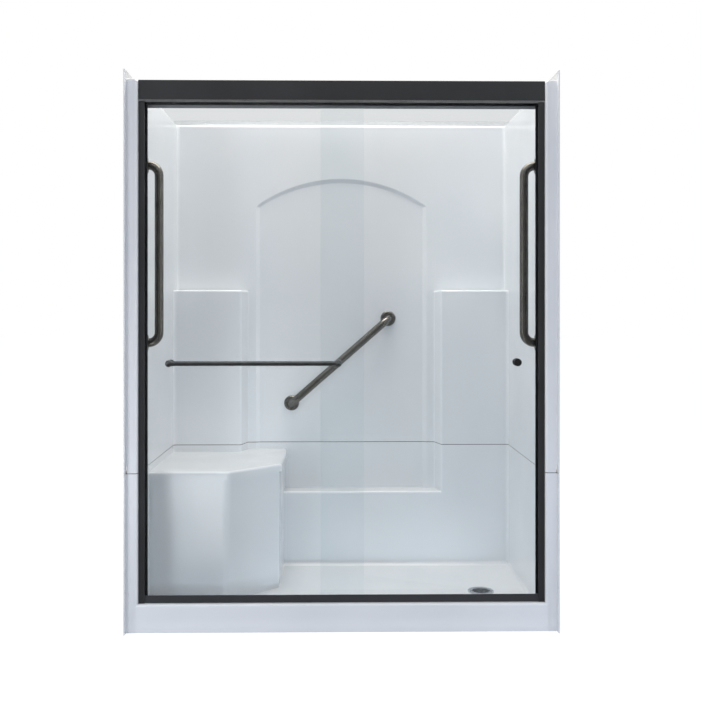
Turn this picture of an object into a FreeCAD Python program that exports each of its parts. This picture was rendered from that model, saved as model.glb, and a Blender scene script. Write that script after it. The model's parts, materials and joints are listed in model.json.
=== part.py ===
"""Walk-in alcove shower enclosure: two moulded wall sections, a framed pair of bypass glass doors,
three grab bars and a floor drain. Lengths are in millimetres.

While it is modelled, y is the depth behind the front faces and z the height above the subfloor.
The finished pieces are then moved so that the origin is the middle of the footprint.
"""
import FreeCAD
import Part
import math
import os

Vector = FreeCAD.Vector

# Moulded sections
overall_width = 1524.0
overall_depth = 838.0
wall_top = 1948.0
seam_height = 558.8
laminate = 6.0
front_face_width = 44.0
mouth_radius = 9.0
corner_radius = 14.0
rim_radius = 12.0
edge_radius = 9.0
cove_radius = 18.0
flange_thickness = 4.0
flange_reach = 25.4
flange_rise = 25.0
flange_hole_radius = 2.75
flange_hole_inset = 12.0
flange_hole_heights = (150.0, 450.0, 1100.0, 1750.0)
flange_hole_spread = 1200.0
seam_gap = 2.4
seam_recess = 1.0
seam_notch_width = 2.5
seam_notch_height = 25.0

# Back wall relief
back_clearance = 25.0
arch_recess = 7.0
shelf_depth = 83.0
shelf_height = 1223.0
ledge_height = 358.0
column_edge = 430.0
column_draft = 22.0
column_root_radius = 9.0
arch_half_width = 374.0
arch_draft = 18.0
arch_spring = 1591.0
arch_rise = 121.0
arch_edge_radius = 5.0
arch_root_radius = 4.0

# Pan, sill and seat
sill_height = 99.0
sill_depth = 100.0
sill_slope = 25.0
floor_height = 42.0
floor_fall = 6.0
floor_margin = 24.0
seat_height = 530.0
seat_width = 471.0
seat_front = 217.0
seat_chamfer = 183.0
seat_corner_radius = 40.0
seat_end_radius = 18.0
seat_lip_height = 30.0
seat_lip_overhang = 11.0
seat_lip_corner_radius = 16.0
seat_lip_radius = 10.0

# Timber behind and below the moulding
stringer_width = 40.0
board_thickness = 12.0
board_margin = 45.0

# Seam bolts
seam_bolt_radius = 3.0
seam_bolt_depths = (200.0, 450.0, 690.0)
seam_bolt_column_x = 590.0
seam_bolt_flats = 10.0
seam_head_height = 4.0
seam_nut_height = 5.0

# Drain
drain_x = 543.0
drain_depth = 353.0
drain_flange_radius = 51.0
drain_flange_thickness = 3.0
drain_body_radius = 42.0
drain_wall = 4.0
drain_foot = 2.0
drain_outlet_radius = 30.5
drain_socket_length = 22.0
drain_throat_radius = 26.0
drain_nut_height = 11.0
drain_nut_radius = 58.0
drain_gasket_thickness = 3.0
drain_washer_thickness = 1.0
strainer_radius = 47.0
strainer_thickness = 2.0
strainer_hole_radius = 2.6
strainer_ring_radii = (10.0, 19.0, 28.0)
strainer_ring_counts = (6, 12, 18)
strainer_screw_spread = 37.0
strainer_screw_head = 1.2
strainer_screw_bite = 6.0

# Door frame
frame_setback = 12.0
header_drop = 4.0
header_height = 76.0
header_depth = 64.0
header_wall = 3.0
header_lip = 10.0
rail_width = 16.0
rail_thickness = 9.0
rail_bevel = 7.0
jamb_width = 22.0
jamb_wall = 2.5
jamb_web = 3.0
jamb_setback = 4.0
jamb_screw_heights = (320.0, 1000.0, 1760.0)
track_front_height = 27.0
track_rear_height = 10.0
track_base = 3.0
track_wall = 2.5
bumper_heights = (260.0, 1500.0)
bumper_length = 30.0

# Doors
glass_thickness = 6.0
glass_entry = 12.0
pane_width = 783.0
pane_gap = 4.0
pane_bottom = 106.0
pane_corner_radius = 3.0
axle_inset = 90.0
axle_cover = 16.0
wheel_radius = 14.0
wheel_width = 8.5
wheel_bore = 4.1
wheel_dish = 1.2
wheel_crown = 0.6
wheel_hole_radius = 1.1
axle_radius = 4.0
axle_head_height = 1.8
roller_nut_flats = 10.0
roller_nut_height = 4.0
sleeve_flange = 1.0
sleeve_flange_width = 3.0
guide_width = 40.0
guide_height = 12.0
guide_slack = 0.5

# Handles
handle_height = 946.0
towel_post_spacing = 592.0
towel_bar_radius = 8.5
towel_bar_standoff = 50.0
towel_bar_wall = 1.2
towel_post_radius = 12.0
towel_post_foot = 4.0
towel_post_round = 2.0
knob_radius = 14.0
knob_inset = 77.0
knob_length = 30.0
knob_foot = 4.0
knob_round = 4.0
handle_cap_thickness = 3.0
handle_washer_thickness = 1.2
stud_radius = 3.0
glass_hole_radius = 6.0

# Grab bars
bar_radius = 16.0
bar_wall = 1.6
bar_standoff = 54.0
bar_bend_radius = 38.0
bar_plate_radius = 29.0
bar_plate_thickness = 4.0
bar_cover_radius = 33.0
bar_cover_height = 13.0
bar_cover_wall = 1.2
side_bar_length = 644.0
side_bar_depth = 115.0
side_bar_height = 1337.0
back_bar_length = 562.0
back_bar_angle = 41.2
back_bar_x = -6.0
back_bar_height = 915.0

# Fasteners and fits
screw_radius = 2.4
screw_head_radius = 4.5
screw_head_height = 2.6
screw_count = 3
screw_circle_radius = 22.5
screw_bite = 10.0
running_gap = 0.1
touch_gap = 0.3
far = 60.0

# Places that follow from the sizes above
half_width = overall_width / 2
room_half = half_width - front_face_width
panel_depth = overall_depth - back_clearance - laminate
wall_depth = panel_depth - arch_recess
column_depth = wall_depth - shelf_depth
lower_top = seam_height - seam_gap / 2
upper_bottom = seam_height + seam_gap / 2
seat_end = -room_half + seat_width
drain_floor = floor_height - floor_fall
frame_front = frame_setback
frame_back = frame_setback + header_depth
frame_middle = (frame_front + frame_back) / 2
header_top = wall_top - header_drop
header_bottom = header_top - header_height
rail_top = header_bottom + rail_thickness
jamb_front = frame_front + jamb_setback
jamb_back = frame_back - jamb_setback
axle_height = rail_top + wheel_radius + running_gap
pane_top = axle_height + axle_cover
outer_pane_front = frame_front + rail_width + pane_gap
inner_pane_back = frame_back - rail_width - pane_gap
pane_reach = room_half - glass_entry
outer_pane_left = -pane_reach
inner_pane_left = pane_reach - pane_width
towel_reach = towel_bar_standoff + towel_post_radius - outer_pane_front
mid_depth = (overall_depth - max(flange_reach, towel_reach)) / 2


def box(x, y, z):
    """Block between the two ends given for each axis."""
    size = [end - start for start, end in (x, y, z)]
    return Part.makeBox(*size, Vector(x[0], y[0], z[0]))


def rod(start, end, radius):
    """Round bar between two points."""
    axis = end - start
    return Part.makeCylinder(radius, axis.Length, start, axis)


def fuse(shapes):
    """One solid from touching or overlapping shapes."""
    first, *others = shapes
    return first.fuse(others).removeSplitter() if others else first


def cut(shape, tools):
    """The shape with every tool taken out of it."""
    return shape.cut(list(tools))


def outline(corners, spot):
    """Closed wire through corners (u, v, radius), with each corner rounded. spot maps (u, v) to a point."""
    ends = []
    count = len(corners)
    for index, (u, v, radius) in enumerate(corners):
        here = Vector(u, v, 0)
        back = Vector(*corners[index - 1][:2], 0) - here
        ahead = Vector(*corners[(index + 1) % count][:2], 0) - here
        back.normalize()
        ahead.normalize()
        half = back.getAngle(ahead) / 2
        run = radius / math.tan(half)
        inward = (back + ahead).normalize() if radius else Vector()
        middle = here + inward * (radius / math.sin(half) - radius)
        ends.append((here + back * run, middle, here + ahead * run, radius))
    edges = []
    for index, (start, middle, end, radius) in enumerate(ends):
        points = [spot(p.x, p.y) for p in (start, middle, end)]
        if radius:
            edges.append(Part.Arc(*points).toShape())
        following = spot(*ends[(index + 1) % count][0][:2])
        if points[2].distanceToPoint(following) > 1e-6:
            edges.append(Part.LineSegment(points[2], following).toShape())
    return Part.Wire(edges)


def plan(corners, bottom, top):
    """Upright prism on a plan outline in x and y."""
    wire = outline(corners, lambda u, v: Vector(u, v, bottom))
    return Part.Face(wire).extrude(Vector(0, 0, top - bottom))


def profile(corners, left, right):
    """Prism along x on a section outline in y and z."""
    wire = outline(corners, lambda u, v: Vector(left, u, v))
    return Part.Face(wire).extrude(Vector(right - left, 0, 0))


def turned(corners, base, axis):
    """Solid of revolution on an outline (distance along axis, radius) from base."""
    wire = outline(corners, lambda u, v: Vector(u, v, 0))
    solid = Part.Face(wire).revolve(Vector(), Vector(1, 0, 0), 360)
    solid.Placement = FreeCAD.Placement(base, FreeCAD.Rotation(Vector(1, 0, 0), axis))
    return solid


def hexagon(base, axis, flats, height):
    """Six-sided prism of a given width across flats."""
    reach = flats / math.sqrt(3)
    turns = [math.radians(60 * step) for step in range(6)]
    points = [Vector(reach * math.cos(a), reach * math.sin(a), 0) for a in turns]
    solid = Part.Face(Part.makePolygon(points + points[:1])).extrude(Vector(0, 0, height))
    solid.Placement = FreeCAD.Placement(base, FreeCAD.Rotation(Vector(0, 0, 1), axis))
    return solid


def mirrored(shape):
    """The shape on the other side of the middle plane."""
    return shape.mirror(Vector(), Vector(1, 0, 0))


# Air inside the enclosure. Grown by the laminate, the same air gives the back of the moulding.
def room_air(grow):
    """The room between the walls, with flared front edges and round back corners."""
    half = room_half + grow
    back = wall_depth + grow
    outer = half_width + far
    return plan(
        [
            (-outer, -far, 0),
            (outer, -far, 0),
            (outer, 0, 0),
            (half, 0, mouth_radius),
            (half, back, corner_radius + grow),
            (-half, back, corner_radius + grow),
            (-half, 0, mouth_radius),
            (-outer, 0, 0),
        ],
        -far,
        wall_top + far,
    )


def arch_wire(depth, half, spring, crown):
    """Door-shaped outline with a segmental top, standing at one depth."""
    foot = ledge_height - far
    left = Vector(-half, depth, spring)
    right = Vector(half, depth, spring)
    low_left = Vector(-half, depth, foot)
    low_right = Vector(half, depth, foot)
    return Part.Wire(
        [
            Part.LineSegment(low_left, left).toShape(),
            Part.Arc(left, Vector(0, depth, crown), right).toShape(),
            Part.LineSegment(right, low_right).toShape(),
            Part.LineSegment(low_right, low_left).toShape(),
        ]
    )


def arch_air(grow):
    """The arched recess in the back wall, narrowing towards its panel."""
    wires = []
    for share in (-0.25, 1.0):
        inset = arch_draft * share - grow
        depth = wall_depth + arch_recess * share + (grow if share == 1.0 else 0)
        crown = arch_spring + arch_rise - inset
        wires.append(arch_wire(depth, arch_half_width - inset, arch_spring, crown))
    recess = Part.makeLoft(wires, True, True)
    back = wall_depth + arch_recess + grow
    rim = [e for e in recess.Edges if all(abs(v.Y - back) < 1e-6 for v in e.Vertexes)]
    recess = recess.makeFillet(arch_root_radius + grow, rim)
    below = box((-half_width, half_width), (0, overall_depth), (-2 * far, ledge_height - grow))
    return recess.cut(below)


def arched_room(grow):
    """Room and recess together, with the rim of the arch rounded on its finished side."""
    room = room_air(grow).fuse(arch_air(grow)).removeSplitter()
    if grow:
        return room
    rim = [
        e
        for e in room.Edges
        if abs(e.CenterOfMass.y - wall_depth) < 1e-6 and ledge_height + 1 < e.CenterOfMass.z < wall_top
        and abs(e.CenterOfMass.x) < column_edge
    ]
    return room.makeFillet(arch_edge_radius, rim)


def dish_air(grow):
    """The shallow fall of the floor towards the drain."""
    high = floor_height - grow
    low = drain_floor - grow
    pad = drain_flange_radius + floor_margin / 3
    left = seat_end + floor_margin
    right = room_half - floor_margin
    front = sill_depth + sill_slope + floor_margin
    back = column_depth - floor_margin
    rim = [(left, front), (right, front), (right, back), (left, back)]
    sides = ((-pad, -pad), (pad, -pad), (pad, pad), (-pad, pad))
    pan = [(drain_x + x, drain_depth + y) for x, y in sides]
    wires = []
    for corners, height in ((rim, high), (pan, low)):
        points = [Vector(x, y, height) for x, y in corners]
        wires.append(Part.makePolygon(points + points[:1]))
    fall = Part.makeLoft(wires, True, True)
    cover = box((left, right), (front, back), (high, high + laminate))
    return fuse([fall, cover])


# Solid parts of the moulding that stand in that air. Each draws back by the laminate with the air.
def column_block(grow):
    """Right-hand column below the shelf, with a coved joint to the side wall."""
    front = column_depth + grow
    wall = wall_depth + grow
    half = room_half + grow
    inner = column_edge + grow
    root = inner - column_draft
    root_radius = column_root_radius + grow
    cove = corner_radius + grow
    top = shelf_height - grow
    block = plan(
        [
            (inner, front, edge_radius),
            (half, front, cove),
            (half, front - 2 * cove, 0),
            (half + far, front - 2 * cove, 0),
            (half + far, wall + far, 0),
            (root - 2 * root_radius, wall + far, 0),
            (root - 2 * root_radius, wall, 0),
            (root, wall, root_radius),
        ],
        -far,
        top,
    )
    upper = [e for e in block.Edges if all(abs(v.Z - top) < 1e-6 for v in e.Vertexes)]
    lips = [e for e in upper if e.CenterOfMass.y < wall - root_radius and e.CenterOfMass.x < half]
    return block.makeFillet(edge_radius, lips)


def apron_block(grow):
    """Thick lower back wall between the columns, with the soap ledge on top."""
    front = column_depth + grow
    top = ledge_height - grow
    corners = [
        (front, -far, 0),
        (front, top, edge_radius),
        (overall_depth + far, top, 0),
        (overall_depth + far, -far, 0),
    ]
    return profile(corners, -room_half - far, room_half + far)


def sill_block(grow):
    """Threshold across the front."""
    front = grow
    top = sill_height - grow
    inner = sill_depth - grow
    slope = sill_slope / (sill_height - floor_height)
    foot = inner + slope * (top + far)
    corners = [
        (front, -far, 0),
        (front, top, edge_radius),
        (inner, top, edge_radius),
        (foot, -far, 0),
    ]
    return profile(corners, -half_width - far, half_width + far)


def seat_plan(inset, corner, end_corner):
    """Plan outline of the seat, drawn in by inset: front, slanted corner and end, with two rounded edges."""
    front = seat_front + inset
    end = seat_end - inset
    slant = seat_end - seat_chamfer - seat_front - inset * math.sqrt(2)
    left = -half_width - far
    back = overall_depth + far
    return [
        (left, front, 0),
        (slant + front, front, corner),
        (end, end - slant, end_corner),
        (end, back, 0),
        (left, back, 0),
    ]


def seat_block(grow):
    """Seat from the floor up, with a rounded overhanging lip on its finished side."""
    body = plan(seat_plan(grow, seat_corner_radius - grow, seat_end_radius - grow), -far, seat_height - grow)
    if grow:
        return body
    rim = seat_plan(-seat_lip_overhang, seat_lip_corner_radius, seat_lip_corner_radius)
    lip = plan(rim, seat_height - seat_lip_height, seat_height)
    edges = [e for e in lip.Edges if all(abs(v.Z - seat_height) < 1e-6 for v in e.Vertexes)]
    inside = [e for e in edges if e.CenterOfMass.y < overall_depth and e.CenterOfMass.x > -half_width]
    return fuse([body, lip.makeFillet(seat_lip_radius, inside)])


def cove(corner, y_way, left, right):
    """Hollow-rounded strip along x where a wall meets the floor."""
    y, z = corner
    strip = box((left, right), sorted((y, y + y_way * cove_radius)), (z, z + cove_radius))
    middle = Vector(left, y + y_way * cove_radius, z + cove_radius)
    return strip.cut(rod(middle, middle + Vector(right - left, 0, 0), cove_radius))


def floor_coves():
    """Coves along the back apron and along the drain-end wall."""
    back = cove((column_depth, floor_height), -1, seat_end - far, room_half + far)
    end = cove((-room_half, floor_height), 1, sill_depth, wall_depth)
    end.rotate(Vector(), Vector(0, 0, 1), 90)
    return [back, end]


def air(grow):
    """All the air inside the enclosure, grown into the walls by a given thickness."""
    room = arched_room(grow)
    floor_top = floor_height - grow
    ground = box((-half_width - far, half_width + far), (-far, overall_depth + far), (-2 * far, floor_top))
    blocks = [
        column_block(grow),
        mirrored(column_block(grow)),
        apron_block(grow),
        sill_block(grow),
        seat_block(grow),
        ground.cut(dish_air(grow)),
    ]
    if not grow:
        blocks += floor_coves()
    return cut(room, blocks)


def hollow_under(bottom, top, behind):
    """Space behind the moulding between two heights, open at the sides and the back."""
    block = box((-half_width - far, half_width + far), (laminate, overall_depth + far), (bottom, top))
    return block.cut(behind)


def flange_holes():
    """Screw holes through the front and back nailing flanges."""
    tools = []
    y = -flange_reach + flange_hole_inset
    for height in flange_hole_heights:
        tools.append(rod(Vector(-half_width - far, y, height), Vector(half_width + far, y, height),
                         flange_hole_radius))
    z = wall_top + flange_rise / 2
    for x in (-flange_hole_spread / 2, flange_hole_spread / 2):
        tools.append(rod(Vector(x, wall_depth, z), Vector(x, overall_depth + far, z), flange_hole_radius))
    return tools


def front_flanges(bottom, top):
    """Upright nailing strips that stand forward of the front faces at both sides."""
    strip = box((half_width - flange_thickness, half_width), (-flange_reach, laminate), (bottom, top))
    return [strip, mirrored(strip)]


def top_flanges():
    """Nailing strips that stand above the walls."""
    rise = (wall_top - laminate, wall_top + flange_rise)
    side = box((half_width - flange_thickness, half_width), (-flange_reach, overall_depth), rise)
    back = box((-half_width, half_width), (overall_depth - flange_thickness, overall_depth), rise)
    return [side, mirrored(side), back]


def lower_section(inside, behind, holes):
    """Pan, sill, seat and lower walls, moulded as one shell."""
    block = box((-half_width, half_width), (0, overall_depth), (0, lower_top))
    shell = block.cut(inside).cut(hollow_under(-far, lower_top - laminate, behind))
    shell = fuse([shell] + front_flanges(0, lower_top))
    drain = Vector(drain_x, drain_depth, -far)
    throat = rod(drain, drain + Vector(0, 0, 3 * far), drain_body_radius + touch_gap)
    return cut(shell, holes + [throat])


def room_side_top_edges(walls):
    """Top edges of the upper walls along the room and the front faces."""
    top = [e for e in walls.Edges if all(abs(v.Z - wall_top) < 1e-6 for v in e.Vertexes)]
    inner = [e for e in top if abs(e.CenterOfMass.x) < half_width - 1]
    return [e for e in inner if e.CenterOfMass.y < overall_depth - 1]


def upper_section(inside, behind, holes):
    """Upper walls, moulded as one shell with a joint ledge below and a nailing flange on top."""
    block = box((-half_width, half_width), (0, overall_depth), (upper_bottom, wall_top))
    walls = block.cut(inside)
    walls = walls.makeFillet(rim_radius, room_side_top_edges(walls))
    shell = walls.cut(hollow_under(upper_bottom + laminate, wall_top - laminate, behind))
    shell = fuse([shell] + front_flanges(upper_bottom, wall_top) + top_flanges())
    outer = half_width - flange_thickness
    notch = box((outer - seam_notch_width, outer), (-far, laminate + 1),
                (upper_bottom - 1, upper_bottom + seam_notch_height))
    return cut(shell, holes + [notch, mirrored(notch)])


def seam_gasket(recessed, holes):
    """Butyl strip between the two sections, set back a little from the finished faces."""
    slab = box((-half_width, half_width), (seam_recess, overall_depth), (lower_top, upper_bottom))
    return cut(slab, [recessed] + holes)


def seam_bolt_spots():
    """Where the joint ledges are bolted together."""
    side = half_width - (front_face_width - laminate) / 2
    spots = [(way * side, depth) for way in (-1, 1) for depth in seam_bolt_depths]
    column = (column_depth + overall_depth) / 2
    spots += [(way * seam_bolt_column_x, column) for way in (-1, 1)]
    return spots


def seam_bolt_holes():
    """Holes through both ledges and the gasket."""
    reach = laminate + far
    return [
        rod(Vector(x, y, seam_height - reach), Vector(x, y, seam_height + reach),
            seam_bolt_radius + running_gap)
        for x, y in seam_bolt_spots()
    ]


def seam_bolts():
    """Bolts dropped through the ledges from above."""
    bolts = []
    top = upper_bottom + laminate
    length = top - lower_top + laminate + 3 * seam_bolt_radius
    for x, y in seam_bolt_spots():
        seat = Vector(x, y, top)
        shank = rod(seat, seat - Vector(0, 0, length), seam_bolt_radius)
        head = hexagon(seat, Vector(0, 0, 1), seam_bolt_flats, seam_head_height)
        bolts.append(fuse([head, shank]))
    return bolts


def seam_nuts():
    """Nuts under the lower ledge."""
    nuts = []
    for x, y in seam_bolt_spots():
        seat = Vector(x, y, lower_top - laminate)
        bore = rod(seat, seat - Vector(0, 0, far), seam_bolt_radius + running_gap)
        nuts.append(hexagon(seat, Vector(0, 0, -1), seam_bolt_flats, seam_nut_height).cut(bore))
    return nuts


# Timber
def floor_stringers(behind):
    """Runners between the subfloor and the underside of the pan."""
    front = sill_depth + sill_slope + floor_margin
    nut_side = drain_nut_radius + stringer_width
    back = column_depth - floor_margin
    middles = [
        front + stringer_width / 2,
        drain_depth - nut_side,
        drain_depth + nut_side,
        (drain_depth + nut_side + back) / 2,
        back - stringer_width / 2,
    ]
    space = hollow_under(0, sill_height, behind)
    span = (seat_end + floor_margin, room_half - floor_margin)
    return [
        space.common(box(span, (y - stringer_width / 2, y + stringer_width / 2), (0, sill_height)))
        for y in middles
    ]


def seat_stiffener():
    """Board under the seat top."""
    top = seat_height - laminate
    inset = laminate + touch_gap
    edge = seat_plan(inset, seat_corner_radius - inset, seat_end_radius - inset)
    board = plan(edge, top - board_thickness, top)
    reach = room_half - touch_gap
    return board.common(box((-reach, 0), (0, column_depth - touch_gap), (0, wall_top)))


def side_board():
    """Board behind the right-hand wall, under the ends of its grab bar."""
    reach = side_bar_length / 2 + board_margin
    x = room_half + laminate
    return box(
        (x, x + board_thickness),
        (side_bar_depth - board_margin, side_bar_depth + board_margin),
        (side_bar_height - reach, side_bar_height + reach),
    )


def back_board():
    """Board behind the arched panel, under the ends of the slanted grab bar."""
    angle = math.radians(back_bar_angle)
    wide = back_bar_length / 2 * math.cos(angle) + board_margin
    tall = back_bar_length / 2 * math.sin(angle) + board_margin
    y = panel_depth + laminate
    return box(
        (back_bar_x - wide, back_bar_x + wide),
        (y, y + board_thickness),
        (back_bar_height - tall, back_bar_height + tall),
    )


# Grab bars, modelled along x on a wall at z = 0 and then set in place
def bar_ends(length):
    """Centres of the two fixing plates."""
    return [Vector(-length / 2, 0, 0), Vector(length / 2, 0, 0)]


def screw_spots(length):
    """Centres of the screws around both fixing plates."""
    turns = [math.radians(90 + 360 / screw_count * step) for step in range(screw_count)]
    return [
        end + Vector(math.cos(a), math.sin(a), 0) * screw_circle_radius
        for end in bar_ends(length)
        for a in turns
    ]


def bar_path(length, foot):
    """Centre line of a bar with two bent ends."""
    half = length / 2
    top = bar_standoff
    bend = bar_bend_radius
    slope = bend * (1 - math.sqrt(0.5))
    left = [Vector(-half, 0, foot), Vector(-half, 0, top - bend),
            Vector(-half + slope, 0, top - slope), Vector(-half + bend, 0, top)]
    right = [Vector(-p.x, 0, p.z) for p in reversed(left)]
    return Part.Wire(
        [
            Part.LineSegment(left[0], left[1]).toShape(),
            Part.Arc(left[1], left[2], left[3]).toShape(),
            Part.LineSegment(left[3], right[0]).toShape(),
            Part.Arc(right[0], right[1], right[2]).toShape(),
            Part.LineSegment(right[2], right[3]).toShape(),
        ]
    )


def bar_tube(length):
    """Bent tube, butted on its fixing plates."""
    path = bar_path(length, bar_plate_thickness)
    start = path.Vertexes[0].Point
    solids = []
    for radius in (bar_radius, bar_radius - bar_wall):
        ring = Part.Wire(Part.makeCircle(radius, start, Vector(0, 0, 1)))
        solids.append(path.makePipeShell([ring], True, False))
    return solids[0].cut(solids[1])


def bar_plates(length):
    """Round fixing plates with their screw holes."""
    tools = [rod(p, p + Vector(0, 0, far), screw_radius + running_gap) for p in screw_spots(length)]
    up = Vector(0, 0, bar_plate_thickness)
    return [rod(end, end + up, bar_plate_radius).cut(tools) for end in bar_ends(length)]


def bar_covers(length):
    """Domed covers that snap over the plates, each with a hole for the tube."""
    rim = bar_cover_radius
    hole = bar_radius + touch_gap
    top = bar_cover_height
    wall = bar_cover_wall
    section = [
        (0, rim - wall, 0),
        (0, rim, 0),
        (top, rim, top * 0.55),
        (top, hole, 0),
        (top - wall, hole, 0),
        (top - wall, rim - wall, (top - wall) * 0.5),
    ]
    return [turned(section, end, Vector(0, 0, 1)) for end in bar_ends(length)]


def bar_screws(length):
    """Pan-head screws through plate, moulding and board."""
    reach = laminate + board_thickness
    screws = []
    for spot in screw_spots(length):
        seat = spot + Vector(0, 0, bar_plate_thickness)
        head = rod(seat, seat + Vector(0, 0, screw_head_height), screw_head_radius)
        screws.append(fuse([head, rod(spot - Vector(0, 0, reach), seat, screw_radius)]))
    return screws


def bar_screw_holes(length):
    """Holes in the moulding and the board behind it."""
    reach = laminate + board_thickness + 1
    return [
        rod(spot - Vector(0, 0, reach), spot + Vector(0, 0, 1), screw_radius + running_gap)
        for spot in screw_spots(length)
    ]


def bar_places():
    """Length and placement of each grab bar."""
    angle = math.radians(back_bar_angle)
    along = Vector(math.cos(angle), 0, math.sin(angle))
    across = Vector(-math.sin(angle), 0, math.cos(angle))
    up = Vector(0, 0, 1)
    turns = {
        "left": FreeCAD.Rotation(up, Vector(0, -1, 0), Vector(1, 0, 0), "XYZ"),
        "right": FreeCAD.Rotation(up, Vector(0, 1, 0), Vector(-1, 0, 0), "XYZ"),
        "back": FreeCAD.Rotation(along, across, Vector(0, -1, 0), "XYZ"),
    }
    spots = {
        "left": Vector(-room_half, side_bar_depth, side_bar_height),
        "right": Vector(room_half, side_bar_depth, side_bar_height),
        "back": Vector(back_bar_x, panel_depth, back_bar_height),
    }
    lengths = {"left": side_bar_length, "right": side_bar_length, "back": back_bar_length}
    return {name: (lengths[name], FreeCAD.Placement(spots[name], turns[name])) for name in spots}


def placed(shapes, placement):
    """Shapes moved from the grab bar's own frame into the enclosure."""
    moved = []
    for shape in shapes:
        copy = shape.copy()
        copy.Placement = placement.multiply(shape.Placement)
        moved.append(copy)
    return moved


# Drain
def drain_spot(height):
    """Point on the drain's axis."""
    return Vector(drain_x, drain_depth, height)


def drain_ring(low, high, outer, inner):
    """Ring around the drain's axis between two heights."""
    return rod(drain_spot(low), drain_spot(high), outer).cut(
        rod(drain_spot(low - 1), drain_spot(high + 1), inner))


def drain_body():
    """Flanged drain body: a recess for the strainer, a throat and a pipe socket below."""
    rim = drain_floor + drain_flange_thickness
    seat = rim - strainer_thickness
    basin = drain_body_radius - drain_wall
    stop = drain_foot + drain_socket_length
    solid = fuse([
        rod(drain_spot(drain_floor), drain_spot(rim), drain_flange_radius),
        rod(drain_spot(drain_foot), drain_spot(rim), drain_body_radius),
    ])
    bores = [
        rod(drain_spot(seat), drain_spot(rim + 1), strainer_radius + touch_gap),
        rod(drain_spot(stop + drain_wall), drain_spot(rim + 1), basin),
        rod(drain_spot(0), drain_spot(rim), drain_throat_radius),
        rod(drain_spot(0), drain_spot(stop), drain_outlet_radius),
    ]
    lugs = []
    screw_bores = []
    for spot in strainer_screw_spots():
        foot = Vector(spot.x, spot.y, stop + drain_wall / 2)
        lug = rod(foot, Vector(spot.x, spot.y, seat), 2 * screw_radius)
        lugs.append(lug.common(rod(drain_spot(0), drain_spot(rim), drain_body_radius)))
        screw_bores.append(rod(spot - Vector(0, 0, 2 * far), spot, screw_radius + running_gap))
    return fuse([cut(solid, bores)] + lugs).cut(screw_bores)


def strainer_screw_spots():
    """Tops of the two screws that hold the strainer."""
    top = drain_floor + drain_flange_thickness
    spread = Vector(strainer_screw_spread, 0, 0)
    return [drain_spot(top) - spread, drain_spot(top) + spread]


def drain_strainer():
    """Round steel grate with rings of holes."""
    top = drain_floor + drain_flange_thickness
    disc = rod(drain_spot(top - strainer_thickness), drain_spot(top), strainer_radius)
    spots = [(0.0, 0.0)]
    for radius, count in zip(strainer_ring_radii, strainer_ring_counts):
        turns = [2 * math.pi * step / count for step in range(count)]
        spots += [(radius * math.cos(a), radius * math.sin(a)) for a in turns]
    tools = []
    for x, y in spots:
        low = drain_spot(0) + Vector(x, y, 0)
        tools.append(rod(low, low + Vector(0, 0, top + 1), strainer_hole_radius))
    for spot in strainer_screw_spots():
        tools.append(rod(spot - Vector(0, 0, far), spot + Vector(0, 0, 1), screw_radius + running_gap))
    return cut(disc, tools)


def strainer_screws():
    """Low-head screws into the lugs of the drain body."""
    screws = []
    for spot in strainer_screw_spots():
        head = rod(spot, spot + Vector(0, 0, strainer_screw_head), screw_head_radius)
        shank = rod(spot - Vector(0, 0, strainer_thickness + strainer_screw_bite), spot, screw_radius)
        screws.append(fuse([head, shank]))
    return screws


def drain_gasket():
    """Rubber ring under the pan."""
    top = drain_floor - laminate
    bore = drain_body_radius + touch_gap
    return drain_ring(top - drain_gasket_thickness, top, drain_flange_radius, bore)


def drain_washer():
    """Fibre ring between gasket and nut."""
    top = drain_floor - laminate - drain_gasket_thickness
    bore = drain_body_radius + touch_gap
    return drain_ring(top - drain_washer_thickness, top, drain_flange_radius, bore)


def drain_locknut():
    """Lugged nut that clamps the drain to the pan."""
    top = drain_floor - laminate - drain_gasket_thickness - drain_washer_thickness
    nut = hexagon(drain_spot(top), Vector(0, 0, -1), drain_nut_radius * math.sqrt(3), drain_nut_height)
    bore = rod(drain_spot(0), drain_spot(top + 1), drain_body_radius + running_gap)
    return nut.cut(bore)


# Door frame
def header_rail():
    """Head channel whose in-turned bottom rails carry the wheels, with a drip lip at the back."""
    front, back, top, low = frame_front, frame_back, header_top, header_bottom
    wall = header_wall
    reach = room_half - touch_gap
    corners = [
        (front, low + rail_bevel, 0),
        (front, top, 1.5),
        (back, top, 1.5),
        (back, low - header_lip, 0),
        (back - wall, low - header_lip, 0),
        (back - wall, low, 0),
        (back - rail_width + rail_bevel, low, 0),
        (back - rail_width, low + rail_bevel, 0),
        (back - rail_width, rail_top, 0),
        (back - wall, rail_top, 0),
        (back - wall, top - wall, 0),
        (front + wall, top - wall, 0),
        (front + wall, rail_top, 0),
        (front + rail_width, rail_top, 0),
        (front + rail_width, low, 0),
        (front + rail_bevel, low, 0),
    ]
    return profile(corners, -reach, reach)


def jamb(holes):
    """Right-hand wall channel, from the sill to the header."""
    wall_x = room_half
    open_x = room_half - jamb_width
    front, back = jamb_front, jamb_back
    shape = plan(
        [
            (open_x, front, 1.0),
            (wall_x, front, 0),
            (wall_x, back, 0),
            (open_x, back, 1.0),
            (open_x, back - jamb_wall, 0),
            (wall_x - jamb_web, back - jamb_wall, 0),
            (wall_x - jamb_web, front + jamb_wall, 0),
            (open_x, front + jamb_wall, 0),
        ],
        sill_height,
        header_bottom,
    )
    return cut(shape, holes)


def jamb_screw_seats():
    """Points on the inside of the right-hand jamb's web where its screws seat."""
    return [Vector(room_half - jamb_web, frame_middle, z) for z in jamb_screw_heights]


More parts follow.
